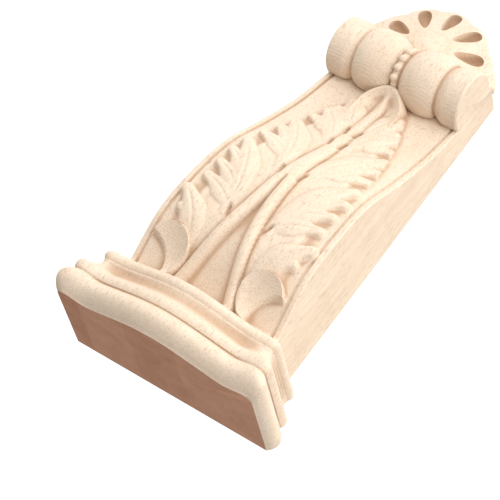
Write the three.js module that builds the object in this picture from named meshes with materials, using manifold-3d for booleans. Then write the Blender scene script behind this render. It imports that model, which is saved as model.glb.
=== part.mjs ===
// A carved wood corbel. Under a moulded cap, a panel swells forward with an acanthus leaf in
// low relief, then sweeps back to a scroll roll tied at its middle. A fan shell ends it below.
// Millimetres, +Z up, +X to the right seen from the front. The wall is the plane y = 0, the
// origin is the middle of the back face, and the front of the corbel looks along -Y.

import * as THREE from 'three';
import { mergeVertices } from 'three/addons/utils/BufferGeometryUtils.js';
import Module from 'manifold-3d';

const wasm = await Module();
wasm.setup();

// Driving dimensions of the body. A drop is a distance below the cap's lower edge.
const capHeight = 23.7;
const bodyHalfWidth = 28.5;
const bodyTaper = 0.0292;
const rollDrop = 97.8;
const swellDepths = [22.9, 30.3, 31.3, 28.8, 21.2, 14.7, 10.8];
const borderInset = 2.3;
const borderGrooveWidth = 1.1;
const borderGrooveDepth = 0.8;

// Driving dimensions of the cap. A reach is how far a moulding stands out from the body, and
// its ear is how much further forward it comes again at the two front corners.
const capFrontDepth = 23.1;
const capBow = 5.8;
const capCornerRadius = 2.6;
const capEarStart = 0.72;
const soffitRise = 3.4;
const beadRise = 6.6;
const coveRise = 11.6;
const bandRise = 15;
const torusRise = 23.2;
const torusFoot = 0.5;
const beadReach = { side: 4, front: 5.6, ear: 0.4 };
const coveReach = { side: 7.2, front: 6.9, ear: 1.9 };
const bandReach = { side: 8, front: 7.5, ear: 2.2 };
const torusReach = { side: 9.2, front: 4.6, ear: 2.2 };
const beadBulge = 0.7;
const coveSag = 1.1;
const bandBulge = 0.35;
const torusBulge = 2.3;
const quirkDepth = 0.35;
const mouldingRoundness = 0.8;
const arrisWidth = 0.5;

// Driving dimensions of the leaf
const stemSpread = 7.4;
const stemMeetDrop = 38;
const stemOuterSpread = 10.3;
const stemHalfWidth = 1.6;
const stemNarrowing = 28;
const stemHeight = 3.2;
const stemFade = 0.45;
const stemClosing = 1.5;
const midribStart = 1.35;
const leafHalfWidth = 23;
const leafDrop = 102;
const leafHeight = 1.5;
const leafTaperPower = 4;
const reliefWall = 0.5;
const lobePitch = 17.5;
const lobeStart = 8.7;
const lobeSlant = { top: 2.2, bottom: 1.1 };
const lobeHeight = 1.7;
const lobeScallop = 3.4;
const cornerNotchRadius = 8.6;
const tipDrop = 93.5;
const tipHalfWidth = 7.4;
const tipLength = 5.6;
const tipHeight = 5.6;
const tipRise = 9;
const tipRoundness = 0.8;

// Driving dimensions of the scroll roll, which lies across the body
const rollAxisDrop = 107.4;
const rollAxisDepth = 14.7;
const rollEndRadius = 10.3;
const rollWaistRadius = 8.7;
const rollBulbRadius = 10.9;
const rollTieRadius = 8.2;
const rollWaistOffset = 16.6;
const rollBulbOffset = 8.8;
const rollTieHalfWidth = 1.7;
const rollFlareLength = 3.4;

// Driving dimensions of the fan shell
const fanDrop = 118.5;
const fanCentreDepth = 18.5;
const fanSlope = 0.31;
const fanRadius = 20.4;
const fanFlare = 6.7;
const fanLobes = 5;
const fanFlarePower = 5;
const lobeNotch = 1.3;
const lobeNotchPower = 2.5;
const lipBackDepth = 8;
const lipOverhang = 2.3;
const hollowStart = 9.2;
const hollowEnd = 19.2;
const hollowHalfWidth = 3.1;
const hollowDepth = 3.6;
const hollowEndPower = 5;
const fanRootHeight = 12;
const fanRootHalfWidth = 24.4;

// How finely the surfaces are cut into facets
const groundSteps = 2;
const bladeSteps = 13;
const centreSteps = 2;
const panelRows = 60;
const capFrontSteps = 20;
const capSideSteps = 2;
const beadSteps = 4;
const coveSteps = 5;
const bandSteps = 3;
const torusSteps = 7;
const cornerSteps = 3;
const rollSectors = 26;
const rollEndSteps = 3;
const rollBulbSteps = 6;
const lobeSteps = 8;
const fanRootSteps = 9;
const fanRings = 9;
const innerRings = 3;

const height = capHeight + fanDrop + fanRadius;
const topZ = height / 2;
const capZ = topZ - capHeight;
const cutMargin = 5;
const mergeDistance = 1e-4;
const turnMargin = 1e-3;

// Shared shaping functions

function smoothStep(low, high, value) {
  return THREE.MathUtils.smoothstep(value, low, high);
}

function halfWidth(drop) {
  return bodyHalfWidth - bodyTaper * drop;
}

// A smooth curve through evenly spaced values, carried on straight past its last two
function throughStations(values, spacing, distance) {
  const last = values.length - 1;
  const place = THREE.MathUtils.clamp(distance / spacing, 0, last);
  const index = Math.min(Math.floor(place), last - 1);
  const share = place - index;
  const start = values[index];
  const end = values[index + 1];
  const before = index > 0 ? values[index - 1] : 2 * start - end;
  const after = index + 2 <= last ? values[index + 2] : 2 * end - start;
  const slopeIn = (end - before) / 2;
  const slopeOut = (after - start) / 2;
  const square = share * share;
  const cube = square * share;
  return (2 * cube - 3 * square + 1) * start + (cube - 2 * square + share) * slopeIn
    + (3 * square - 2 * cube) * end + (cube - square) * slopeOut;
}

// Depth of the plain panel in front of the wall
function panelDepth(drop) {
  return throughStations(swellDepths, rollDrop / (swellDepths.length - 1), drop);
}

// Inner edge of a stem. The two stems meet lower down and run on as one midrib.
function stemInner(drop) {
  const open = Math.max(0, 1 - Math.max(drop, 0) / stemMeetDrop);
  return stemSpread * Math.pow(open, stemClosing);
}

// Where the facets follow the stem's inner wall, which closes to a narrow strip once they meet
function stemStation(drop) {
  return Math.max(stemInner(drop), 2 * reliefWall);
}

function stemRelief(across, drop) {
  const inner = stemInner(drop);
  const outer = stemHalfWidth + stemOuterSpread * Math.exp(-Math.max(drop, 0) / stemNarrowing);
  const joined = smoothStep(stemMeetDrop, midribStart * stemMeetDrop, drop);
  const crest = (inner + outer) / 2 * (1 - joined);
  const away = Math.abs(across - crest) / (outer - crest);
  const fade = 1 - stemFade * smoothStep(stemMeetDrop, tipDrop, drop);
  return away < 1 ? stemHeight * fade * Math.sqrt(1 - away * away) : 0;
}

// How far a place is up a lobe: 1 along its crest and 0 in the valleys beside it. The lobes
// run down and outward, and spread apart toward the tip.
function lobeRidge(across, drop) {
  const slant = THREE.MathUtils.lerp(lobeSlant.top, lobeSlant.bottom, drop / leafDrop);
  return Math.abs(Math.sin(Math.PI * (drop - slant * across + lobeStart) / lobePitch));
}

// Half the width of the leaf's tip, down to its rounded end
function tipReach(drop) {
  const along = Math.max(0, (drop - tipDrop) / tipLength);
  return along < 1 ? tipHalfWidth * Math.sqrt(1 - along * along) : 0;
}

// Edge of the leaf, which is notched between lobes and makes room for the upper corners
function leafEdge(drop) {
  const length = THREE.MathUtils.clamp(drop / leafDrop, 0, 1);
  const plain = leafHalfWidth * (1 - Math.pow(length, leafTaperPower));
  const lobed = plain - lobeScallop * (1 - lobeRidge(plain, drop));
  const corner = halfWidth(drop) - borderInset - borderGrooveWidth;
  const notch = Math.max(0, cornerNotchRadius * cornerNotchRadius - drop * drop);
  const innermost = stemStation(drop) + 3 * reliefWall;
  return Math.max(innermost, tipReach(drop), Math.min(lobed, corner - Math.sqrt(notch)));
}

// The blade of the leaf, ridged into lobes
function bladeRelief(across, drop) {
  const inside = smoothStep(-reliefWall, reliefWall, across - stemInner(drop));
  const rise = lobeHeight * lobeRidge(across, drop) * smoothStep(0, leafHalfWidth / 2, across);
  return (leafHeight + rise) * inside * (1 - smoothStep(tipDrop, leafDrop, drop));
}

// The tip curls forward in front of the roll and ends in a rounded edge
function tipRelief(across, drop) {
  const rise = smoothStep(tipDrop - tipRise, tipDrop + tipLength / 2, drop);
  const side = across / tipHalfWidth;
  return tipHeight * rise * Math.sqrt(Math.max(0, 1 - tipRoundness * side * side));
}

function borderGroove(across, drop) {
  const away = Math.abs(across - halfWidth(drop) + borderInset);
  return borderGrooveDepth * Math.max(0, 1 - 2 * away / borderGrooveWidth);
}

function panelSurface(across, drop) {
  const leaf = Math.max(stemRelief(across, drop), bladeRelief(across, drop), tipRelief(across, drop));
  const outside = smoothStep(-reliefWall, reliefWall, leafEdge(drop) - across);
  const ended = drop < tipDrop + tipLength ? 1 : 0;
  return panelDepth(drop) + leaf * outside * ended - borderGroove(across, drop);
}

// A closed skin over a row of loops with equal counts of points, closed by a point at each end.
// Each loop runs clockwise as seen from outside the first end. The quads on the left are cut
// into triangles as the mirror image of those on the right.
function loft(loops, firstEnd, lastEnd) {
  const count = loops[0].length;
  const points = [firstEnd, ...loops.flat(), lastEnd];
  const lastPoint = points.length - 1;
  const lastLoop = 1 + (loops.length - 1) * count;
  const index = [];
  for (let side = 0; side < count; side += 1) {
    const next = (side + 1) % count;
    index.push(0, 1 + next, 1 + side);
    index.push(lastPoint, lastLoop + side, lastLoop + next);
    for (let row = 0; row < loops.length - 1; row += 1) {
      const near = 1 + row * count;
      const far = near + count;
      const [a, b, c, d] = [near + side, near + next, far + next, far + side];
      const left = points[a].x + points[b].x < 0;
      index.push(a, b, left ? c : d, c, d, left ? a : b);
    }
  }
  const geometry = new THREE.BufferGeometry().setFromPoints(points);
  geometry.setIndex(index);
  return geometry;
}

// Body: sections across the panel, each with its relief in front and the wall face behind

function spread(from, to, steps) {
  return Array.from({ length: steps }, (_, step) => THREE.MathUtils.lerp(from, to, step / steps));
}

// Places across half the panel, from its side to its middle, with a pair at each step in level
function stationsAcross(drop) {
  const half = halfWidth(drop);
  const groove = half - borderInset;
  const grooveInner = groove - borderGrooveWidth / 2;
  const edge = leafEdge(drop);
  const stem = stemStation(drop);
  return [
    half,
    groove + borderGrooveWidth / 2,
    groove,
    ...spread(grooveInner, edge + reliefWall, groundSteps),
    edge + reliefWall,
    ...spread(edge - reliefWall, stem + reliefWall, bladeSteps),
    stem + reliefWall,
    ...spread(stem - reliefWall, 0, centreSteps),
  ];
}

function panelSection(drop) {
  const half = halfWidth(drop);
  const right = stationsAcross(drop);
  const left = right.map((x) => -x).reverse();
  const stations = [...right, 0, ...left];
  const z = capZ - drop;
  const front = stations.map((x) => new THREE.Vector3(x, -panelSurface(Math.abs(x), drop), z));
  return [...front, new THREE.Vector3(-half, 0, z), new THREE.Vector3(half, 0, z)];
}

function makeBody() {
  const drops = [-bandRise, ...spread(-soffitRise, rollAxisDrop, panelRows), rollAxisDrop, fanDrop];
  const middle = -rollAxisDepth / 2;
  const topEnd = new THREE.Vector3(0, middle, capZ + bandRise);
  const bottomEnd = new THREE.Vector3(0, middle, capZ - fanDrop);
  return loft(drops.map(panelSection), topEnd, bottomEnd);
}

// Cap: plan outlines with a bowed front and rounded corners, stacked up the moulding

function capLoop(reach, grow, z) {
  const side = bodyHalfWidth + reach.side + grow;
  const front = capFrontDepth + reach.front + grow;
  const cornerFront = front + reach.ear;
  const points = [];
  for (let step = 0; step < capSideSteps; step += 1) {
    points.push(new THREE.Vector3(side, (capCornerRadius - cornerFront) * step / capSideSteps, z));
  }
  for (let step = 0; step < cornerSteps; step += 1) {
    const turn = Math.PI / 2 * step / cornerSteps;
    const x = side - capCornerRadius + capCornerRadius * Math.cos(turn);
    const y = capCornerRadius - cornerFront - capCornerRadius * Math.sin(turn);
    points.push(new THREE.Vector3(x, y, z));
  }
  const mirrored = points.map((point) => new THREE.Vector3(-point.x, point.y, z)).reverse();
  const frontHalf = side - capCornerRadius;
  for (let step = 0; step <= capFrontSteps; step += 1) {
    const aside = 1 - 2 * step / capFrontSteps;
    const bow = capBow * (1 + Math.cos(Math.PI * aside)) / 2;
    const ear = reach.ear * smoothStep(capEarStart, 1, Math.abs(aside));
    points.push(new THREE.Vector3(frontHalf * aside, -front - bow - ear, z));
  }
  return [...points, ...mirrored];
}

// One member of the moulding between two reaches, bulging out or sagging in between
function member(from, to, low, high, bulge, steps) {
  const loops = [];
  for (let step = 0; step <= steps; step += 1) {
    const share = step / steps;
    const swell = bulge * Math.pow(Math.sin(Math.PI * share), mouldingRoundness);
    const reach = {
      side: THREE.MathUtils.lerp(from.side, to.side, share),
      front: THREE.MathUtils.lerp(from.front, to.front, share),
      ear: THREE.MathUtils.lerp(from.ear, to.ear, share),
    };
    loops.push(capLoop(reach, swell, capZ + THREE.MathUtils.lerp(low, high, share)));
  }
  return loops;
}

function makeCap() {
  const quirk = { ...bandReach, side: bandReach.side - quirkDepth, front: bandReach.front - quirkDepth };
  const loops = [
    ...member(beadReach, beadReach, soffitRise, beadRise, beadBulge, beadSteps),
    ...member(beadReach, coveReach, beadRise + arrisWidth, coveRise, -coveSag, coveSteps),
    ...member(bandReach, bandReach, coveRise + arrisWidth, bandRise, bandBulge, bandSteps),
    ...member(quirk, torusReach, bandRise + torusFoot, torusRise, torusBulge, torusSteps),
    capLoop(torusReach, -arrisWidth, topZ),
  ];
  const middle = -capFrontDepth / 2;
  const underside = new THREE.Vector3(0, middle, capZ + soffitRise);
  const topFace = new THREE.Vector3(0, middle, topZ);
  return loft(loops.reverse(), topFace, underside);
}

// Scroll roll: two end discs, two waists and two bulbs, turned about the X axis

function rollProfile() {
  const end = bodyHalfWidth;
  const points = [new THREE.Vector2(0, 0), new THREE.Vector2(rollTieRadius, 0)];
  points.push(new THREE.Vector2(rollTieRadius, rollTieHalfWidth));
  const bulbStart = rollTieHalfWidth;
  const bulbLength = 2 * (rollBulbOffset - bulbStart);
  for (let step = 1; step <= rollBulbSteps; step += 1) {
    const share = step / rollBulbSteps;
    const foot = THREE.MathUtils.lerp(rollTieRadius, rollWaistRadius, share);
    const crest = rollBulbRadius - (rollTieRadius + rollWaistRadius) / 2;
    const radius = foot + crest * Math.sqrt(Math.sin(Math.PI * share));
    points.push(new THREE.Vector2(radius, bulbStart + bulbLength * share));
  }
  for (let step = 1; step <= rollEndSteps; step += 1) {
    const share = step / rollEndSteps;
    const radius = THREE.MathUtils.lerp(rollWaistRadius, rollEndRadius, Math.sin(Math.PI / 2 * share));
    points.push(new THREE.Vector2(radius, rollWaistOffset + rollFlareLength * share));
  }
  points.push(new THREE.Vector2(rollEndRadius, end), new THREE.Vector2(0, end));
  return points;
}

function makeRoll() {
  const half = rollProfile().slice(1);
  const other = half.slice(1).map((point) => new THREE.Vector2(point.x, -point.y)).reverse();
  const geometry = new THREE.LatheGeometry([...other, ...half], rollSectors);
  geometry.rotateZ(-Math.PI / 2);
  geometry.translate(0, -rollAxisDepth, capZ - rollAxisDrop);
  return geometry;
}

// The sides of the body as one straight tapered blank, which trims the roll's ends flush
function makeBlank() {
  const outline = new THREE.Shape();
  const top = -capHeight - cutMargin;
  const bottom = fanDrop + fanRadius;
  outline.moveTo(halfWidth(top), top);
  outline.lineTo(halfWidth(bottom), bottom);
  outline.lineTo(-halfWidth(bottom), bottom);
  outline.lineTo(-halfWidth(top), top);
  outline.closePath();
  const depth = rollAxisDepth + Math.max(...swellDepths) + cutMargin;
  const geometry = new THREE.ExtrudeGeometry(outline, { depth, bevelEnabled: false });
  geometry.rotateX(-Math.PI / 2);
  geometry.translate(0, -depth, capZ);
  return geometry;
}

// Fan shell: rings about its centre, with a lobed rim and a drop-shaped hollow in each lobe

const lobeAngle = Math.PI / fanLobes;

// Angle from the nearest lobe's middle, zero straight down
function lobeOffset(angle) {
  return angle - lobeAngle * Math.round(angle / lobeAngle);
}

function fanRim(angle) {
  const turn = Math.abs(angle);
  if (turn > Math.PI / 2 + turnMargin) {
    return Math.min(fanRootHalfWidth / Math.sin(turn), -fanRootHeight / Math.cos(turn));
  }
  const flare = fanFlare * Math.pow(turn / (Math.PI / 2), fanFlarePower);
  const notch = Math.pow(Math.abs(lobeOffset(angle)) / (lobeAngle / 2), lobeNotchPower);
  return fanRadius + flare - lobeNotch * notch;
}

function hollowCut(radius, angle) {
  if (Math.abs(angle) > Math.PI / 2) {
    return 0;
  }
  const along = (radius - hollowStart) / (hollowEnd - hollowStart);
  if (along <= 0 || along >= 1) {
    return 0;
  }
  const width = hollowHalfWidth * Math.sqrt(along) * Math.sqrt(1 - Math.pow(along, hollowEndPower));
  const aside = Math.abs(radius * Math.sin(lobeOffset(angle))) / width;
  const bowl = Math.sqrt(Math.max(0, 1 - aside * aside));
  return hollowDepth * bowl * Math.sqrt(Math.sin(Math.PI * along));
}

function fanAngles() {
  const steps = fanLobes * lobeSteps;
  const angles = [];
  for (let step = 0; step <= steps; step += 1) {
    angles.push(Math.PI * (step / steps - 0.5));
  }
  for (let step = 1; step < fanRootSteps; step += 1) {
    angles.push(Math.PI * (0.5 + step / fanRootSteps));
  }
  return angles;
}

function makeFan() {
  const z = capZ - fanDrop;
  const angles = fanAngles();
  const wrap = (angle) => (angle > Math.PI ? angle - 2 * Math.PI : angle);
  const place = (angle, radius, depth) =>
    new THREE.Vector3(-radius * Math.sin(angle), -depth, z - radius * Math.cos(angle));
  const surface = (radius) => fanCentreDepth - fanSlope * radius;
  const loops = [];
  for (let ring = 1; ring <= fanRings; ring += 1) {
    const inner = hollowStart * Math.min(1, ring / innerRings);
    const share = Math.max(0, (ring - innerRings) / (fanRings - innerRings));
    loops.push(angles.map((angle) => {
      const turn = wrap(angle);
      const radius = inner + (fanRim(turn) - hollowStart) * share;
      return place(turn, radius, surface(radius) - hollowCut(radius, turn));
    }));
  }
  const inset = (angle) => fanRim(wrap(angle)) - lipOverhang;
  loops.push(angles.map((angle) => place(wrap(angle), fanRim(wrap(angle)), lipBackDepth)));
  loops.push(angles.map((angle) => place(wrap(angle), inset(angle), lipBackDepth)));
  loops.push(angles.map((angle) => place(wrap(angle), inset(angle), 0)));
  return loft(loops, place(0, 0, fanCentreDepth), place(0, 0, 0));
}

// Joining into one solid

function toSolid(geometry) {
  const bare = geometry.clone();
  bare.deleteAttribute('normal');
  bare.deleteAttribute('uv');
  const merged = mergeVertices(bare, mergeDistance);
  const vertProperties = new Float32Array(merged.attributes.position.array);
  const triVerts = new Uint32Array(merged.index.array);
  return new wasm.Manifold(new wasm.Mesh({ numProp: 3, vertProperties, triVerts }));
}

function toGeometry(solid) {
  const mesh = solid.getMesh();
  const geometry = new THREE.BufferGeometry();
  geometry.setAttribute('position', new THREE.BufferAttribute(mesh.vertProperties, 3));
  geometry.setIndex(new THREE.BufferAttribute(mesh.triVerts, 1));
  geometry.computeVertexNormals();
  return geometry;
}

const roll = toSolid(makeRoll()).intersect(toSolid(makeBlank()));
const carving = toSolid(makeBody()).add(roll).add(toSolid(makeFan())).add(toSolid(makeCap()));

const paleWood = new THREE.MeshStandardMaterial({ color: 0xe2c8a4, roughness: 0.75, metalness: 0 });
const corbel = new THREE.Mesh(toGeometry(carving), paleWood);
corbel.name = 'corbel';

const part = new THREE.Group();
part.add(corbel);

export default part;
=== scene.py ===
"""The carved wood corbel as it looks, and the pale studio that it stands in.

The frame's solid gives the form, the size and the place. The carving made here follows the same
sizes, and adds what is too fine for the solid: the fingers and eyes of the leaf, its curled tip,
the tie round the roll with its beads, and the finish of bare wood, with painted shade in its
hollows and partly on its top face. Sizes are in millimetres, as in the solid, and become metres
when a mesh is made.
"""

import logging
import math
from dataclasses import dataclass
from enum import Enum

import bpy
import numpy as np
from mathutils import Matrix, Vector


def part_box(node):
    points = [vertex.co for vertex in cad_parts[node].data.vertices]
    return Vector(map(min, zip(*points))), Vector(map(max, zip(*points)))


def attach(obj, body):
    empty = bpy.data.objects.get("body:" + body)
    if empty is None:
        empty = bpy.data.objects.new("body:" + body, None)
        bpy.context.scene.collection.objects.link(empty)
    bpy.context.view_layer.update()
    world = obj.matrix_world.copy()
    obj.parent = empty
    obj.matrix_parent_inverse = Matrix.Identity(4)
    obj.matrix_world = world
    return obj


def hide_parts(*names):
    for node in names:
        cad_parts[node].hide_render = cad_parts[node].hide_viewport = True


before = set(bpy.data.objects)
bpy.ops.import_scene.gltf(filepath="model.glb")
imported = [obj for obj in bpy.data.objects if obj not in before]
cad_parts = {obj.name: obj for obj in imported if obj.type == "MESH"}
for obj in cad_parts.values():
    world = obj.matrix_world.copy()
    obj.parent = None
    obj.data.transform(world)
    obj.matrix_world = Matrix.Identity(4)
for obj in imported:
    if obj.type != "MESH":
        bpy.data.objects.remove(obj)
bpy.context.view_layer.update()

MM = 0.001
NODE = "corbel"
BODY = "root"
WHITE = (1.0, 1.0, 1.0, 1.0)

# Sockets of a Mix node that mixes colours, by number because their names are not unique
MIX_FACTOR, MIX_FIRST, MIX_SECOND, MIX_RESULT = 0, 6, 7, 2

log = logging.getLogger("corbel")


class Cut(Enum):
    """How one solid changes another."""

    JOIN = "UNION"
    CARVE = "DIFFERENCE"


class Face(Enum):
    """Material slots of the carving, by the tool that left the surface."""

    CARVED = 0
    PLANED = 1
    END_GRAIN = 2


def smooth_step(low: float, high: float, value: np.ndarray) -> np.ndarray:
    """Rise smoothly from 0 at low to 1 at high, or fall where low is the higher of the two.

    Args:
        low: Where the result is 0.
        high: Where it is 1.
        value: Places to give the rise at.

    Returns:
        The rise at each place.
    """
    share = np.clip((np.asarray(value, float) - low) / (high - low), 0.0, 1.0)
    return share * share * (3.0 - 2.0 * share)


def through_stations(values: tuple[float, ...], spacing: float, distance: np.ndarray) -> np.ndarray:
    """Follow a smooth curve through evenly spaced values.

    Args:
        values: Heights of the stations.
        spacing: Distance from one station to the next.
        distance: Places to give the curve at.

    Returns:
        The curve's height at each place, held level beyond its ends.
    """
    known = np.asarray(values, float)
    last = len(known) - 1
    place = np.clip(np.asarray(distance, float) / spacing, 0.0, last)
    index = np.minimum(np.floor(place).astype(int), last - 1)
    share = place - index
    padded = np.concatenate([[2 * known[0] - known[1]], known, [2 * known[-1] - known[-2]]])
    before, start, end, after = (padded[index + step] for step in range(4))
    slope_in, slope_out = (end - before) / 2, (after - start) / 2
    square, cube = share**2, share**3
    return (
        (2 * cube - 3 * square + 1) * start
        + (cube - 2 * square + share) * slope_in
        + (3 * square - 2 * cube) * end
        + (cube - square) * slope_out
    )


def full_turn(count: int) -> np.ndarray:
    """Angles spaced evenly round a circle, from 0."""
    return 2 * np.pi * np.arange(count) / count


def make_object(name: str, points: np.ndarray, faces: list[tuple[int, ...]]) -> bpy.types.Object:
    """Make a mesh object in the frame from places in millimetres.

    Args:
        name: Name of the object and of its mesh.
        points: One row of x, y and z for each point.
        faces: The points round each face, counter-clockwise from outside.

    Returns:
        The linked object, at the origin.
    """
    mesh = bpy.data.meshes.new(name)
    mesh.from_pydata((points * MM).tolist(), [], faces)
    mesh.validate()
    made = bpy.data.objects.new(name, mesh)
    bpy.context.scene.collection.objects.link(made)
    return made


def read(items: object, name: str, width: int = 1, kind: type = float) -> np.ndarray:
    """Read one property of all a mesh's points, edges, loops or faces.

    Args:
        items: The mesh's own list of them.
        name: Blender's name for the property.
        width: How many numbers it has.
        kind: Their type.

    Returns:
        A row of numbers for each item, or one number for each where the width is 1.
    """
    values = np.zeros(len(items) * width, kind)
    items.foreach_get(name, values)
    return values.reshape(-1, width) if width > 1 else values


def loft(name: str, loops: np.ndarray, first_end: np.ndarray, last_end: np.ndarray) -> bpy.types.Object:
    """Close a skin over a row of loops, with a point at each end.

    Args:
        name: Name of the object.
        loops: Places by loop, then round the loop clockwise as seen from outside the first end.
        first_end: Point that closes the first loop.
        last_end: Point that closes the last loop.

    Returns:
        The closed solid.
    """
    rows, count, _ = loops.shape
    points = np.concatenate([[first_end], loops.reshape(-1, 3), [last_end]])
    side = np.arange(count)
    following = (side + 1) % count
    near = 1 + np.arange(rows - 1)[:, None] * count
    quads = np.stack([near + side, near + following, near + count + following, near + count + side], -1)
    last_loop = 1 + (rows - 1) * count
    top = np.stack([np.zeros_like(side), 1 + following, 1 + side], -1)
    bottom = np.stack([np.full_like(side, len(points) - 1), last_loop + side, last_loop + following], -1)
    faces = quads.reshape(-1, 4).tolist() + top.tolist() + bottom.tolist()
    return make_object(name, points, faces)


def settle(changed: bpy.types.Object) -> bpy.types.Object:
    """Turn an object's live modifiers into its plain mesh and take them off."""
    graph = bpy.context.evaluated_depsgraph_get()
    plain = bpy.data.meshes.new_from_object(changed.evaluated_get(graph))
    changed.modifiers.clear()
    changed.data = plain
    return changed


def cut(base: bpy.types.Object, tool: bpy.types.Object, how: Cut) -> bpy.types.Object:
    """Join a solid to a base, or carve it out, and use it up.

    Args:
        base: The solid that changes.
        tool: The solid that changes it.
        how: Whether to join or to carve.

    Returns:
        The base with its new mesh.
    """
    change = base.modifiers.new("cut", "BOOLEAN")
    change.operation = how.value
    change.solver = "MANIFOLD"
    change.object = tool
    settle(base)
    bpy.data.objects.remove(tool)
    return base


@dataclass(frozen=True)
class Block:
    """The block that the corbel is cut from, and its sides."""

    cap_height: float = 23.7
    half_width: float = 28.5
    taper: float = 0.0292
    fan_drop: float = 118.5
    arris: float = 0.35

    @property
    def top(self) -> float:
        """Height of the top face, which the frame gives."""
        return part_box(NODE)[1].z / MM

    @property
    def cap_z(self) -> float:
        """Height of the line where the cap meets the body, from which drops are measured."""
        return self.top - self.cap_height

    def half_at(self, drop: np.ndarray) -> np.ndarray:
        """Half the body's width at a drop."""
        return self.half_width - self.taper * np.asarray(drop, float)


@dataclass(frozen=True)
class Finger:
    """One finger of a lobe: a ridge that widens from its root and narrows to its low tip.

    It follows a curve over the panel, in distance from the middle and in drop below the cap.
    """

    root: tuple[float, float]
    tip: tuple[float, float]
    half_width: float
    strength: float
    bend: tuple[float, float] = (0.2, 0.66)
    steps: int = 14
    root_share: float = 0.4
    widest: float = 0.6
    taper_lead: float = 0.05
    tip_share: float = 0.46

    def path(self) -> np.ndarray:
        """Points along the finger from its root to its tip."""
        root, tip = np.array(self.root), np.array(self.tip)
        middle = root + (tip - root) * np.array(self.bend)
        share = np.linspace(0, 1, self.steps + 1)[:, None]
        return (1 - share) ** 2 * root + 2 * share * (1 - share) * middle + share**2 * tip

    def place_at(self, share: float) -> tuple[float, float]:
        """The place a share of the way along the finger."""
        path, places = self.path(), np.linspace(0, 1, self.steps + 1)
        return tuple(float(np.interp(share, places, path[:, axis])) for axis in range(2))

    def measure(self, across: np.ndarray, drop: np.ndarray) -> tuple[np.ndarray, np.ndarray]:
        """Find how places lie to the finger.

        Args:
            across: Distances from the middle.
            drop: Drops below the cap.

        Returns:
            The distance from its curve, and the share of the way along it.
        """
        path = self.path()
        away = np.full(across.shape, np.inf)
        along = np.zeros(across.shape)
        for step, (start, end) in enumerate(zip(path, path[1:])):
            run = end - start
            share = ((across - start[0]) * run[0] + (drop - start[1]) * run[1]) / (run @ run)
            share = np.clip(share, 0, 1)
            gap = np.hypot(across - start[0] - share * run[0], drop - start[1] - share * run[1])
            nearer = gap < away
            away = np.where(nearer, gap, away)
            along = np.where(nearer, (step + share) / self.steps, along)
        return away, along

    def width_at(self, along: np.ndarray) -> np.ndarray:
        """Half its width by the share of the way along it."""
        grown = np.sin(np.pi / 2 * np.clip(along / self.widest, 0, 1))
        tapered = smooth_step(self.widest - self.taper_lead, 1.0, along)
        narrowed = 1 - (1 - self.tip_share) * tapered
        return self.half_width * (self.root_share + (1 - self.root_share) * grown) * narrowed


@dataclass(frozen=True)
class Lobe:
    """One lobe of the leaf, on both sides: a long main finger, and side fingers towards the cap."""

    root: tuple[float, float]
    tip: tuple[float, float]
    side_fingers: int
    main_half_width: float = 4.7
    side_half_width: float = 4.0
    pitch: float = 6.3
    spread: float = 1.0
    furthest: float = 21.2
    first_branch: float = 0.28
    branch_step: float = 0.12
    side_strength: float = 0.9
    side_fading: float = 0.1

    def fingers(self) -> list[Finger]:
        """The lobe's fingers, the main one first."""
        main = Finger(self.root, self.tip, self.main_half_width, 1.0)
        fingers = [main]
        for number in range(self.side_fingers):
            start = main.place_at(max(self.first_branch - self.branch_step * number, 0.0))
            across = min(self.tip[0] + self.spread * (number + 1), self.furthest)
            end = (across, self.tip[1] - self.pitch * (number + 1))
            strength = self.side_strength - self.side_fading * number
            fingers.append(Finger(start, end, self.side_half_width, strength))
        return fingers


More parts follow.
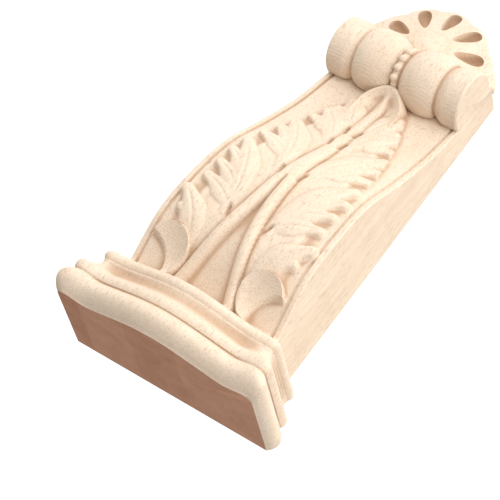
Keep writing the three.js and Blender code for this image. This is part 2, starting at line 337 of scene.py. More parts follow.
@dataclass(frozen=True)
class Leaf:
    """The acanthus leaf, as a height above the panel by distance from its middle and by drop."""

    stem_spread: float = 7.4
    stem_meet_drop: float = 38.0
    stem_outer_spread: float = 10.3
    stem_half_width: float = 1.6
    stem_narrowing: float = 28.0
    stem_height: float = 3.0
    stem_closing: float = 1.5
    stem_fullness: float = 2.6
    midrib_start: float = 1.35
    midrib_fade: float = 0.35
    valley_depth: float = 0.7
    valley_half_width: float = 0.8
    slit_drop: float = 42.5
    slit_half_length: float = 2.6
    slit_half_width: float = 0.4
    slit_depth: float = 1.6
    slit_squareness: int = 4
    wall: float = 0.6
    web_height: float = 1.3
    web_drops: tuple[float, ...] = (0, 24, 34, 52, 71, 83, 91, 100)
    web_widths: tuple[float, ...] = (21.5, 19.5, 18.5, 17, 13.5, 10, 7.4, 5)
    web_edge: float = 1.6
    ridge_height: float = 1.4
    ridge_fullness: float = 0.7
    ridge_run: tuple[float, float] = (-0.25, 0.6)
    finger_dip: float = 0.45
    dip_run: tuple[float, float] = (0.6, 1.0)
    vein_depth: float = 0.35
    vein_half_width: float = 0.4
    vein_start: tuple[float, float] = (0.1, 0.4)
    vein_end: tuple[float, float] = (1.0, 0.85)
    lobes: tuple[Lobe, ...] = (
        Lobe((12.2, 8.5), (23.6, 25.4), 1),
        Lobe((8.2, 24.0), (20.4, 51.6), 3),
        Lobe((4.6, 46.0), (18.4, 71.3), 2),
        Lobe((2.9, 67.5), (14.2, 82.5), 1),
        Lobe((2.7, 75.5), (10.2, 90.6), 1),
    )
    eye_depth: float = 2.1
    eye_half_length: float = 2.4
    eye_half_width: float = 0.62
    eye_gap: float = 1.1
    eye_lean: float = 0.3
    eye_squareness: int = 4
    notch_radius: float = 8.6
    notch_centre: float = 25.1
    bowl_centre: tuple[float, float] = (17.8, 5.9)
    bowl_radius: tuple[float, float] = (7.6, 7.8)
    bowl_floor: float = 1.4
    bowl_rim: float = 2.2
    bowl_curve: float = 2.2
    bowl_edge: tuple[float, float] = (1.05, 0.97)
    tip_drop: float = 98.4
    tip_sweep: float = 6.0
    tip_half_width: float = 8.0
    tip_height: float = 6.8
    tip_fall: float = 3.6
    tip_roll: float = 2.5
    tip_back: float = 2.4
    tip_back_steepness: float = 1.6
    tip_floor: float = 1.6
    tip_rib_height: float = 1.6
    tip_rib_half_width: float = 1.1
    tip_side: tuple[float, float] = (1.05, 0.96)
    tip_merge: tuple[float, float] = (-3.4, -1.8)
    tip_end: tuple[float, float] = (1.0, 0.2)

    def stem_inner(self, drop: np.ndarray) -> np.ndarray:
        """Inner edge of a stem."""
        open_share = np.clip(1.0 - np.maximum(drop, 0.0) / self.stem_meet_drop, 0.0, 1.0)
        return self.stem_spread * open_share**self.stem_closing

    def stem_outer(self, drop: np.ndarray) -> np.ndarray:
        """Outer edge of a stem."""
        fall = np.exp(-np.maximum(drop, 0.0) / self.stem_narrowing)
        return self.stem_half_width + self.stem_outer_spread * fall

    def stems(self, across: np.ndarray, drop: np.ndarray) -> np.ndarray:
        """Height of the stems, and of the midrib that they join into.

        Args:
            across: Distances from the middle.
            drop: Drops below the cap.

        Returns:
            The height above the panel.
        """
        inner, outer = self.stem_inner(drop), self.stem_outer(drop)
        joined = smooth_step(self.stem_meet_drop, self.midrib_start * self.stem_meet_drop, drop)
        crest = (inner + outer) / 2 * (1 - joined)
        away = np.abs(across - crest) / (outer - crest)
        fade = 1 - self.midrib_fade * smooth_step(self.stem_meet_drop, self.tip_drop, drop)
        profile = np.sqrt(np.clip(1 - away**self.stem_fullness, 0.0, 1.0))
        slit = np.exp(
            -((across / self.slit_half_width) ** 2)
            - ((drop - self.slit_drop) / self.slit_half_length) ** self.slit_squareness
        )
        return self.stem_height * fade * profile - self.slit_depth * slit * (away < 1)

    def blade(self, across: np.ndarray, drop: np.ndarray) -> np.ndarray:
        """Height of the web between the fingers and of the fingers on it.

        Args:
            across: Distances from the middle.
            drop: Drops below the cap.

        Returns:
            The height above the panel.
        """
        web_width = np.interp(drop, self.web_drops, self.web_widths)
        height = self.web_height * smooth_step(-self.web_edge, self.web_edge, web_width - across)
        for finger in (finger for lobe in self.lobes for finger in lobe.fingers()):
            away, along = finger.measure(across, drop)
            width = finger.width_at(along)
            inside = smooth_step(-self.wall, self.wall, width - away)
            crest = self.ridge_height * finger.strength * smooth_step(*self.ridge_run, along)
            crest = crest - self.finger_dip * smooth_step(*self.dip_run, along)
            profile = np.clip(1 - (away / width) ** 2, 0, 1) ** self.ridge_fullness
            vein = self.vein_depth * np.exp(-((away / self.vein_half_width) ** 2))
            vein = vein * smooth_step(*self.vein_start, along) * smooth_step(*self.vein_end, along)
            height = np.maximum(height, inside * (self.web_height + crest * profile - vein))
        return height

    def dished(self, height: np.ndarray, across: np.ndarray, drop: np.ndarray) -> np.ndarray:
        """Put the dished lobe beside each upper corner in place of the blade there.

        Args:
            height: Height of the blade.
            across: Distances from the middle.
            drop: Drops below the cap.

        Returns:
            The height with the dish, rounded out at the corner.
        """
        aside = (across - self.bowl_centre[0]) / self.bowl_radius[0]
        along = (drop - self.bowl_centre[1]) / self.bowl_radius[1]
        away = np.hypot(aside, along)
        dish = self.bowl_floor + self.bowl_rim * np.clip(away, 0, 1) ** self.bowl_curve
        height = height + (dish - height) * smooth_step(*self.bowl_edge, away)
        corner = np.hypot(across - self.notch_centre, drop) - self.notch_radius
        return height * smooth_step(-self.wall, self.wall, corner)

    def eyes(self, across: np.ndarray, drop: np.ndarray) -> np.ndarray:
        """Slits sunk beside the stem at each lobe's root.

        Args:
            across: Distances from the middle.
            drop: Drops below the cap.

        Returns:
            The depth to take off.
        """
        sunk = np.zeros_like(drop)
        for lobe in self.lobes[1:]:
            beyond = drop - lobe.root[1]
            along = (beyond - self.eye_half_length / 2) / self.eye_half_length
            aside = (across - lobe.root[0] + self.eye_gap - self.eye_lean * beyond) / self.eye_half_width
            sunk += np.exp(-2 * along**self.eye_squareness - aside**2)
        return self.eye_depth * np.minimum(sunk, 1.0)

    def relief(self, across: np.ndarray, drop: np.ndarray) -> np.ndarray:
        """Height of the whole leaf above the panel, with its tip curled forward.

        Args:
            across: Distances from the middle.
            drop: Drops below the cap.

        Returns:
            The height above the panel.
        """
        height = self.dished(self.blade(across, drop), across, drop)
        height = height * smooth_step(-self.wall, self.wall, across - self.stem_inner(drop))
        valley = np.exp(-(((across - self.stem_outer(drop)) / self.valley_half_width) ** 2))
        height = np.maximum(height - self.valley_depth * valley, self.stems(across, drop))
        height = np.maximum(height - self.eyes(across, drop), 0.0)
        side = across / self.tip_half_width
        beyond = drop - self.tip_drop + self.tip_sweep * side**2
        crest = self.tip_height - self.tip_fall * side**2
        front = np.sqrt(np.clip(1 - (np.maximum(beyond, 0) / self.tip_roll) ** 2, 0, 1))
        behind = np.exp(-(np.abs(np.minimum(beyond, 0) / self.tip_back) ** self.tip_back_steepness))
        rib = self.tip_rib_height * np.exp(-((across / self.tip_rib_half_width) ** 2))
        floor = self.tip_floor * (1 + side**2) + rib
        lip = np.where(beyond > 0, crest * front, floor + (crest - floor) * behind)
        edge = smooth_step(*self.tip_side, side)
        share = smooth_step(*self.tip_merge, beyond / self.tip_roll) * edge
        height = height * smooth_step(*self.tip_end, beyond / self.tip_roll)
        return height + (lip * edge - height) * share


@dataclass(frozen=True)
class Panel:
    """The swelling front between the cap and the roll, with its border grooves and its leaf."""

    block: Block
    leaf: Leaf = Leaf()
    roll_drop: float = 97.8
    depths: tuple[float, ...] = (22.9, 30.3, 31.3, 28.8, 21.2, 14.7, 10.8)
    border_inset: float = 2.3
    groove_width: float = 1.3
    groove_depth: float = 0.9
    groove_lips: tuple[float, ...] = (0.5, 0.25, 0.0, -0.25)
    columns: int = 168
    rows: int = 304
    top_rise: float = 15.0
    seen_from: float = -3.4
    seen_to: float = 103.0
    axis_depth: float = 14.7

    def depth(self, drop: np.ndarray) -> np.ndarray:
        """Depth of the plain panel in front of the wall."""
        return through_stations(self.depths, self.roll_drop / (len(self.depths) - 1), drop)

    def stations(self, drop: float) -> np.ndarray:
        """Places across the panel at one drop, from its right side to its left.

        Args:
            drop: Drop below the cap.

        Returns:
            The places, closer together at the border grooves.
        """
        half = float(self.block.half_at(drop))
        groove = half - self.border_inset
        lips = groove + self.groove_width * np.array(self.groove_lips)
        inner = groove - self.groove_width / 2
        middle = np.linspace(inner, -inner, self.columns + 1)
        side = np.array([half, half - self.block.arris, *lips])
        return np.concatenate([side, middle, -side[::-1]])

    def groove(self, across: np.ndarray, drop: np.ndarray) -> np.ndarray:
        """Depth of the border grooves."""
        away = np.abs(across - self.block.half_at(drop) + self.border_inset)
        return self.groove_depth * np.sqrt(np.clip(1 - (2 * away / self.groove_width) ** 2, 0, 1))

    def build(self) -> bpy.types.Object:
        """Make the body with its carved front, flat sides and flat back.

        Returns:
            The closed solid.
        """
        seen = np.linspace(self.seen_from, self.seen_to, self.rows)
        drops = np.concatenate([[-self.top_rise], seen, [self.block.fan_drop]])
        x = np.stack([self.stations(drop) for drop in drops])
        drop = np.repeat(drops[:, None], x.shape[1], axis=1)
        across = np.abs(x)
        depth = self.depth(drop) + self.leaf.relief(across, drop) - self.groove(across, drop)
        depth[:, [0, -1]] -= self.block.arris
        z = self.block.cap_z - drop
        front = np.stack([x, -depth, z], -1)
        back = np.stack([x[:, [-1, 0]], np.zeros_like(x[:, :2]), z[:, :2]], -1)
        loops = np.concatenate([front, back], axis=1)
        middle = -self.axis_depth / 2
        first = np.array([0.0, middle, z[0, 0]])
        last = np.array([0.0, middle, z[-1, 0]])
        return loft("body", loops, first, last)


@dataclass(frozen=True)
class Reach:
    """How far a moulding stands out from the body, and how much more at its front corners."""

    side: float
    front: float
    ear: float

    def blended(self, other: "Reach", share: float) -> "Reach":
        """The reach a share of the way to another."""
        pairs = ((self.side, other.side), (self.front, other.front), (self.ear, other.ear))
        return Reach(*(start + (end - start) * share for start, end in pairs))


@dataclass(frozen=True)
class Cap:
    """The moulded cap: a bead, a cove, a flat band, a quirk and a big torus under a flat top."""

    block: Block
    front_depth: float = 23.1
    bow: float = 5.8
    corner_radius: float = 2.6
    ear_start: float = 0.72
    soffit_rise: float = 3.4
    bead_rise: float = 6.6
    cove_rise: float = 11.6
    band_rise: float = 15.0
    torus_rise: float = 23.2
    torus_foot: float = 0.5
    bead: Reach = Reach(4.0, 5.6, 0.4)
    cove: Reach = Reach(7.2, 6.9, 1.9)
    band: Reach = Reach(8.0, 7.5, 2.2)
    torus: Reach = Reach(9.2, 4.6, 2.2)
    bead_bulge: float = 0.7
    cove_sag: float = 1.1
    band_bulge: float = 0.35
    torus_bulge: float = 2.3
    quirk_depth: float = 0.35
    quirk_inset: float = 0.1
    fillet: float = 0.4
    roundness: float = 0.8
    arris: float = 0.5
    bead_steps: int = 9
    cove_steps: int = 12
    band_steps: int = 7
    torus_steps: int = 20
    front_steps: int = 132
    side_steps: int = 26
    corner_steps: int = 9

    def loop(self, reach: Reach, grow: float, rise: float) -> np.ndarray:
        """One outline of the cap in plan, with a bowed front and rounded corners.

        Args:
            reach: How far the outline stands out from the body.
            grow: How much further out it stands all round.
            rise: Its height above the line where the cap meets the body.

        Returns:
            The places round it, clockwise seen from above.
        """
        side = self.block.half_width + reach.side + grow
        front = self.front_depth + reach.front + grow
        corner = front + reach.ear
        radius = self.corner_radius
        back = np.arange(self.side_steps) / self.side_steps
        right = np.stack([np.full_like(back, side), (radius - corner) * back], -1)
        turn = np.pi / 2 * np.arange(self.corner_steps) / self.corner_steps
        rounded = np.stack(
            [side - radius + radius * np.cos(turn), radius - corner - radius * np.sin(turn)], -1
        )
        start = np.concatenate([right, rounded])
        aside = np.linspace(1, -1, self.front_steps + 1)
        bow = self.bow * (1 + np.cos(np.pi * aside)) / 2
        ear = reach.ear * smooth_step(self.ear_start, 1.0, np.abs(aside))
        bowed = np.stack([(side - radius) * aside, -front - bow - ear], -1)
        plan = np.concatenate([start, bowed, start[::-1] * [-1, 1]])
        return np.column_stack([plan, np.full(len(plan), self.block.cap_z + rise)])

    def member(
        self, start: Reach, end: Reach, low: float, high: float, bulge: float, steps: int
    ) -> list[np.ndarray]:
        """One member of the moulding.

        Args:
            start: Reach at its foot.
            end: Reach at its head.
            low: Height of its foot.
            high: Height of its head.
            bulge: How far it swells in between, negative for a cove.
            steps: How many outlines it is cut into.

        Returns:
            Its outlines from the foot up.
        """
        outlines = []
        for step in range(steps + 1):
            share = step / steps
            swell = bulge * math.sin(math.pi * share) ** self.roundness if 0 < step < steps else 0.0
            outlines.append(self.loop(start.blended(end, share), swell, low + (high - low) * share))
        return outlines

    def build(self) -> bpy.types.Object:
        """Make the cap.

        Returns:
            The closed solid.
        """
        bead, cove, band, torus = self.bead, self.cove, self.band, self.torus
        quirk = Reach(band.side - self.quirk_depth, band.front - self.quirk_depth, band.ear)
        cove_foot, band_foot = self.bead_rise + self.fillet, self.cove_rise + self.fillet
        torus_foot, steps = self.band_rise + self.torus_foot, self.torus_steps
        outlines = [
            *self.member(bead, bead, self.soffit_rise, self.bead_rise, self.bead_bulge, self.bead_steps),
            *self.member(bead, cove, cove_foot, self.cove_rise, -self.cove_sag, self.cove_steps),
            *self.member(band, band, band_foot, self.band_rise, self.band_bulge, self.band_steps),
            self.loop(quirk, -self.quirk_inset, self.band_rise + self.torus_foot / 2),
            *self.member(quirk, torus, torus_foot, self.torus_rise, self.torus_bulge, steps),
            self.loop(torus, -self.arris, self.block.cap_height),
        ]
        middle = -self.front_depth / 2
        first = np.array([0.0, middle, self.block.top])
        last = np.array([0.0, middle, self.block.cap_z + self.soffit_rise])
        return loft("cap", np.stack(outlines[::-1]), first, last)


@dataclass(frozen=True)
class Roll:
    """The scroll roll across the body: end discs, waists, bulbs, and the tie with its strap."""

    block: Block
    axis_drop: float = 107.4
    axis_depth: float = 14.7
    end_radius: float = 10.3
    waist_radius: float = 8.7
    bulb_radius: float = 10.9
    tie_radius: float = 8.2
    waist_offset: float = 16.6
    bulb_offset: float = 8.8
    flare_length: float = 3.4
    tie_half_width: float = 1.7
    strap_half_width: float = 1.05
    strap_edge: float = 0.2
    strap_squareness: int = 4
    strap_rise: float = 0.6
    strap_gap_depth: float = 0.9
    end_inset: float = 0.04
    sectors: int = 132
    bulb_steps: int = 44
    end_steps: int = 30
    tie_steps: int = 14
    arris: float = 0.5

    def profile(self) -> tuple[np.ndarray, np.ndarray]:
        """Half the profile, from the middle of the tie to the end disc.

        Returns:
            Distances from the middle along the axis, and the radius at each.
        """
        tie_x = np.linspace(0, self.tie_half_width, self.tie_steps, endpoint=False)
        strap = np.clip(1 - (tie_x / self.strap_half_width) ** self.strap_squareness, 0, 1)
        edge = np.array([-self.strap_edge, self.strap_edge]) + self.strap_half_width
        gap = smooth_step(*edge, tie_x)
        tie_r = self.tie_radius + self.strap_rise * strap - self.strap_gap_depth * gap
        share = np.linspace(0, 1, self.bulb_steps)
        bulb_x = self.tie_half_width + 2 * (self.bulb_offset - self.tie_half_width) * share
        gap_radius = self.tie_radius - self.strap_gap_depth
        foot = gap_radius + (self.waist_radius - gap_radius) * share
        crest = self.bulb_radius - (gap_radius + self.waist_radius) / 2
        bulb_r = foot + crest * np.sqrt(np.clip(np.sin(np.pi * share), 0, 1))
        end_share = np.linspace(0, 1, self.end_steps)[1:]
        flare = self.waist_offset + self.flare_length * end_share
        flare_r = self.waist_radius + (self.end_radius - self.waist_radius) * np.sin(
            np.pi / 2 * end_share
        )
        return np.concatenate([tie_x, bulb_x, flare]), np.concatenate([tie_r, bulb_r, flare_r])

    def build(self) -> bpy.types.Object:
        """Make the roll, with its ends a hair inside the body's tapered sides.

        Returns:
            The closed solid.
        """
        along, radius = self.profile()
        turn = full_turn(self.sectors)
        x = np.concatenate([-along[:0:-1], along])
        r = np.concatenate([radius[:0:-1], radius])
        rings = np.stack(
            [
                np.repeat(x[:, None], self.sectors, axis=1),
                -self.axis_depth - r[:, None] * np.cos(turn),
                self.block.cap_z - self.axis_drop - r[:, None] * np.sin(turn),
            ],
            -1,
        )
        ends = []
        for inset, fall in ((self.arris, 0.0), (0.0, self.arris)):
            ring = rings[-1].copy()
            ring[:, 1] = -self.axis_depth - (self.end_radius - fall) * np.cos(turn)
            ring[:, 2] = self.block.cap_z - self.axis_drop - (self.end_radius - fall) * np.sin(turn)
            side = self.block.half_at(self.block.cap_z - ring[:, 2])
            ring[:, 0] = side - self.end_inset - inset
            ends.append(ring)
        mirrored = [ring * [-1, 1, 1] for ring in ends[::-1]]
        loops = np.concatenate([mirrored, rings, ends])
        end_x = float(self.block.half_at(self.axis_drop)) - self.end_inset
        centre = np.array([end_x, -self.axis_depth, self.block.cap_z - self.axis_drop])
        return loft("roll", loops, centre * [-1, 1, 1], centre)


@dataclass(frozen=True)
class Fan:
    """The fan shell below the roll, with a lobed rim, a lip and a hollow in each lobe."""

    block: Block
    centre_depth: float = 18.5
    slope: float = 0.31
    radius: float = 20.4
    swell: float = 0.5
    flare: float = 6.7
    flare_power: int = 5
    lobes: int = 5
    notch: float = 1.3
    notch_power: float = 2.5
    turn_margin: float = 1e-6
    lip_back_depth: float = 8.0
    lip_overhang: float = 2.3
    hollow_start: float = 9.2
    hollow_end: float = 19.2
    hollow_half_width: float = 3.1
    hollow_depth: float = 4.2
    hollow_end_power: int = 5
    hollow_end_rise: float = 0.4
    hollow_steps: int = 36
    hollow_sectors: int = 40
    root_height: float = 12.0
    root_half_width: float = 24.4
    angle_steps: int = 170
    root_steps: int = 40
    rings: int = 30
    lip_arris: float = 0.7

    @property
    def centre_z(self) -> float:
        """Height of the fan's centre."""
        return self.block.cap_z - self.block.fan_drop

    @property
    def lobe_angle(self) -> float:
        """Angle from one lobe's middle to the next."""
        return math.pi / self.lobes

    def rim(self, angle: np.ndarray) -> np.ndarray:
        """Radius of the rim.

        Args:
            angle: Angles from straight down.

        Returns:
            The rim's radius, with the straight root under the roll.
        """
        turn = np.abs(angle)
        offset = turn - self.lobe_angle * np.round(turn / self.lobe_angle)
        flare = self.flare * (turn / (np.pi / 2)) ** self.flare_power
        notch = self.notch * np.abs(offset / (self.lobe_angle / 2)) ** self.notch_power
        across = self.root_half_width / np.maximum(np.sin(turn), self.turn_margin)
        upward = self.root_height / np.maximum(-np.cos(turn), self.turn_margin)
        in_root = turn > np.pi / 2 + self.turn_margin
        return np.where(in_root, np.minimum(across, upward), self.radius + flare - notch)

    def place(self, angle: np.ndarray, radius: np.ndarray, depth: np.ndarray) -> np.ndarray:
        """Places on the fan by angle, radius and depth from the wall."""
        x, z = -radius * np.sin(angle), self.centre_z - radius * np.cos(angle)
        return np.stack([x, -depth + 0 * x, z], -1)

    def surface(self, radius: np.ndarray) -> np.ndarray:
        """Depth of the fan's swelling front by radius."""
        return self.centre_depth - self.slope * radius + self.swell * (radius / self.radius) ** 2

    def build(self) -> bpy.types.Object:
        """Make the fan without its hollows.

        Returns:
            The closed solid.
        """
        front = np.linspace(-np.pi / 2, np.pi / 2, self.angle_steps + 1)
        root = np.pi * (0.5 + np.arange(1, self.root_steps) / self.root_steps)
        angle = np.concatenate([front, np.where(root > np.pi, root - 2 * np.pi, root)])
        rim = self.rim(angle)
        loops = []
        for ring in range(1, self.rings + 1):
            radius = (rim - self.lip_arris) * ring / self.rings
            loops.append(self.place(angle, radius, self.surface(radius)))
        edge, arris = self.centre_depth - self.slope * rim + self.swell, self.lip_arris
        edge_to_back = (
            (arris / 3, edge - arris / 4),
            (0.0, edge - arris),
            (0.0, self.lip_back_depth + arris / 2),
            (arris / 2, self.lip_back_depth),
            (self.lip_overhang, self.lip_back_depth),
            (self.lip_overhang, 0.0),
        )
        loops += [self.place(angle, rim - inset, depth) for inset, depth in edge_to_back]
        first = np.array([0.0, -self.centre_depth, self.centre_z])
        last = np.array([0.0, 0.0, self.centre_z])
        return loft("fan", np.stack(loops), first, last)

    def hollow(self) -> bpy.types.Object:
        """Make the drop-shaped gouge of the middle lobe, pointing up, about the fan's centre.

        Returns:
            The closed cutter, with the fan's centre at its origin.
        """
        steps, sectors = self.hollow_steps, self.hollow_sectors
        share = (1 - np.cos(np.pi * (np.arange(steps) + 0.5) / steps)) / 2
        width = self.hollow_half_width * np.sqrt(share * (1 - share**self.hollow_end_power))
        deep = self.hollow_depth * np.sqrt(np.sin(np.pi * share))
        radius = self.hollow_start + (self.hollow_end - self.hollow_start) * share
        turn = full_turn(sectors)
        loops = np.stack(
            [
                width[:, None] * np.cos(turn),
                -self.surface(radius)[:, None] - deep[:, None] * np.sin(turn),
                np.repeat(-radius[:, None], sectors, axis=1),
            ],
            -1,
        )
        start_depth = self.centre_depth - self.slope * self.hollow_start
        end_depth = self.centre_depth - self.slope * self.hollow_end + self.hollow_end_rise
        first = np.array([0.0, -start_depth, -self.hollow_start])
        last = np.array([0.0, -end_depth, -self.hollow_end])
        return loft("shell_hollows", loops, first, last)


class Nodes:
    """A short way to write a node tree."""

    def __init__(self, tree: bpy.types.NodeTree) -> None:
        """Start on a tree, with nothing in it."""
        self.tree = tree
        tree.nodes.clear()

    def add(
        self, kind: str, inputs: dict[str | int, object] | None = None, **settings: object
    ) -> bpy.types.Node:
        """Add a node.

        Args:
            kind: Blender's name for the node.
            inputs: Values or sockets for its inputs, by name or number.
            settings: Values for its own properties.

        Returns:
            The node.
        """
        node = self.tree.nodes.new(kind)
        for name, value in settings.items():
            setattr(node, name, value)
        return self.filled(node, inputs or {})

    def filled(self, node: bpy.types.Node, inputs: dict[str | int, object]) -> bpy.types.Node:
        """Set a node's inputs, and link those that are given as sockets.

        Args:
            node: The node.
            inputs: Values or sockets by name or number.

        Returns:
            The same node.
        """
        for key, value in inputs.items():
            if isinstance(value, bpy.types.NodeSocket):
                self.tree.links.new(value, node.inputs[key])
            else:
                node.inputs[key].default_value = value
        return node

    def math(self, operation: str, *values: object) -> bpy.types.NodeSocket:
        """Work out a number from sockets and numbers."""
        return self.add("ShaderNodeMath", dict(enumerate(values)), operation=operation).outputs[0]

    def scaled(self, vector: bpy.types.NodeSocket, scale: tuple[float, float, float]) -> bpy.types.NodeSocket:
        """Stretch a vector along each axis."""
        inputs = {0: vector, 1: scale}
        return self.add("ShaderNodeVectorMath", inputs, operation="MULTIPLY").outputs[0]

    def noise(self, vector: bpy.types.NodeSocket, detail: float, roughness: float) -> bpy.types.NodeSocket:
        """Noise from 0 to 1 over a vector."""
        inputs = {"Vector": vector, "Scale": 1.0, "Detail": detail, "Roughness": roughness}
        return self.add("ShaderNodeTexNoise", inputs).outputs["Fac"]

    def mapped(self, value: object, low: float, high: float, new_low: float, new_high: float) -> object:
        """Move a number from one range to another and hold it there."""
        inputs = {"Value": value, 1: low, 2: high, 3: new_low, 4: new_high}
        return self.add("ShaderNodeMapRange", inputs, clamp=True).outputs[0]

    def mixed(self, factor: object, first: object, second: object) -> bpy.types.NodeSocket:
        """Mix two colours."""
        inputs = {MIX_FACTOR: factor, MIX_FIRST: first, MIX_SECOND: second}
        return self.add("ShaderNodeMix", inputs, data_type="RGBA").outputs[MIX_RESULT]

    def group(self, tree: bpy.types.NodeTree, inputs: dict[str | int, object]) -> bpy.types.Node:
        """Place a node group."""
        node = self.tree.nodes.new("ShaderNodeGroup")
        node.node_tree = tree
        return self.filled(node, inputs)


class Spreader:
    """A Geometry Nodes tree that repeats its object by turning copies about a line.

    The copies turn about an axis through the origin, then move together to their place.
    """

    def __init__(self, name: str, material: bpy.types.Material) -> None:
        """Build the tree.

        Args:
            name: Name of the tree.
            material: Material for the copies.
        """
        self.tree = bpy.data.node_groups.new(name, "GeometryNodeTree")
        face = self.tree.interface
        face.new_socket("Geometry", in_out="INPUT", socket_type="NodeSocketGeometry")
        self.sockets = {
            label: face.new_socket(label, in_out="INPUT", socket_type=kind).identifier
            for label, kind in (
                ("Count", "NodeSocketInt"),
                ("First Turn", "NodeSocketVector"),
                ("Turn Between", "NodeSocketVector"),
                ("Centre", "NodeSocketVector"),
            )
        }
        face.new_socket("Geometry", in_out="OUTPUT", socket_type="NodeSocketGeometry")
        nodes = Nodes(self.tree)
        given = nodes.add("NodeGroupInput").outputs
        line = {"Count": given["Count"], "Offset": (0.0, 0.0, 0.0)}
        points = nodes.add("GeometryNodeMeshLine", line).outputs["Mesh"]
        index = nodes.add("GeometryNodeInputIndex").outputs["Index"]
        turns = {0: index, 1: given["Turn Between"], 2: given["First Turn"]}
        turned = nodes.add("ShaderNodeVectorMath", turns, operation="MULTIPLY_ADD").outputs["Vector"]
        placing = {"Points": points, "Instance": given["Geometry"], "Rotation": turned}
        copies = nodes.add("GeometryNodeInstanceOnPoints", placing).outputs["Instances"]
        moving = {"Instances": copies, "Translation": given["Centre"], "Local Space": False}
        moved = nodes.add("GeometryNodeTranslateInstances", moving).outputs["Instances"]
        real = nodes.add("GeometryNodeRealizeInstances", {"Geometry": moved}).outputs["Geometry"]
        coating = {"Geometry": real, "Material": material}
        coated = nodes.add("GeometryNodeSetMaterial", coating).outputs["Geometry"]
        nodes.add("NodeGroupOutput", {"Geometry": coated})

    def spread(
        self, single: bpy.types.Object, count: int, first: Vector, between: Vector, centre: Vector
    ) -> bpy.types.Object:
        """Repeat an object.

        Args:
            single: The object to repeat, made about the turning line.
            count: How many copies.
            first: Turn of the first copy, in radians about each axis.
            between: Turn from each copy to the next.
            centre: Where the turning line's origin goes, in metres.

        Returns:
            The same object, now a plain mesh of all the copies.
        """
        change = single.modifiers.new("spread", "NODES")
        change.node_group = self.tree
        values = {"Count": count, "First Turn": first, "Turn Between": between, "Centre": centre}
        for label, value in values.items():
            change[self.sockets[label]] = value
        return settle(single)


@dataclass(frozen=True)
class Tie:
    """The beads that stand in a row round the roll's tie."""

    roll: Roll
    bead_radius: float = 1.35
    bead_stand: float = 0.4
    bead_steps: int = 9
    bead_sectors: int = 16
    count: int = 4
    first_angle: float = math.radians(-51)
    last_angle: float = math.radians(16)

    def bead(self) -> bpy.types.Object:
        """Make one bead in front of the roll's axis.

        Returns:
            The closed bead.
        """
        steps, sectors = self.bead_steps, self.bead_sectors
        tilt = np.pi * np.arange(1, steps) / steps
        turn = full_turn(sectors)
        radius = self.bead_radius
        distance = self.roll.tie_radius + self.bead_stand
        loops = np.stack(
            [
                np.repeat(radius * np.cos(tilt)[:, None], sectors, axis=1),
                -distance - radius * np.sin(tilt)[:, None] * np.cos(turn),
                -radius * np.sin(tilt)[:, None] * np.sin(turn),
            ],
            -1,
        )
        first = np.array([radius, -distance, 0.0])
        return loft("tie_beads", loops[:, ::-1], first, first * [-1, 1, 1])

    def build(self, material: bpy.types.Material) -> bpy.types.Object:
        """Make the row of beads.

        Args:
            material: Material of the beads.

        Returns:
            All beads as one plain mesh.
        """
        block = self.roll.block
        centre = Vector((0, -self.roll.axis_depth, block.cap_z - self.roll.axis_drop)) * MM
        step = (self.last_angle - self.first_angle) / (self.count - 1)
        spreader = Spreader("beads round the tie", material)
        first, between = Vector((self.first_angle, 0, 0)), Vector((step, 0, 0))
        return spreader.spread(self.bead(), self.count, first, between, centre)


def shader_group(
    name: str, inputs: dict[str, str], outputs: dict[str, str]
) -> tuple[bpy.types.NodeTree, Nodes, bpy.types.Node, bpy.types.Node]:
    """Start a shader node group with named sockets.

    Args:
        name: Name of the group.
        inputs: Socket type by name.
        outputs: Socket type by name.

    Returns:
        The group, its writer, its input node and its output node.
    """
    tree = bpy.data.node_groups.new(name, "ShaderNodeTree")
    for label, kind in inputs.items():
        tree.interface.new_socket(label, in_out="INPUT", socket_type=kind)
    for label, kind in outputs.items():
        tree.interface.new_socket(label, in_out="OUTPUT", socket_type=kind)
    nodes = Nodes(tree)
    return tree, nodes, nodes.add("NodeGroupInput"), nodes.add("NodeGroupOutput")


FLOAT = "NodeSocketFloat"
VECTOR = "NodeSocketVector"

# Wood grain: repeats for each metre across, deep and along the height, the detail and roughness
# of its noise, and the range of that noise that is spread over 0 to 1
FINE_GRAIN = (1700.0, 1700.0, 42.0)
BROAD_GRAIN = (150.0, 170.0, 9.0)
FINE_NOISE = (3.0, 0.6)
BROAD_NOISE = (3.0, 0.55)
FINE_RANGE = (0.32, 0.68)
BROAD_RANGE = (0.3, 0.7)

# Glued staves: how many to a metre of width, and how far they are shifted, in metres
STAVES_PER_METRE = 52.0
STAVE_OFFSET = 0.0085

# Cutter marks: radians for each metre of height, how many radians they stray, the repeats,
# detail and roughness of the noise that leads them astray, and the steepness where they show
MARK_TURN = 8400.0
MARK_STRAY = 1.6
STRAY_GRAIN = (90.0, 90.0, 90.0)
STRAY_NOISE = (2.0, 0.5)
MARK_STEEPNESS = (0.35, 0.8)

# Height of a pore's floor, in heights of the grain, and the wood's specular level
PORE_FLOOR = -2.5
WOOD_SHEEN = 0.3


@dataclass(frozen=True)
class Pore:
    """One size of pore.

    It has its repeats for each metre across and along the grain, its radius as a share of the
    space between pores, the share of pores that are missing, and the share of its radius that
    is fully dark.
    """

    across: float
    along: float
    radius: float
    missing: float
    core: float = 0.6


PORES = (Pore(2700.0, 250.0, 0.31, 0.3), Pore(1700.0, 140.0, 0.2, 0.55))


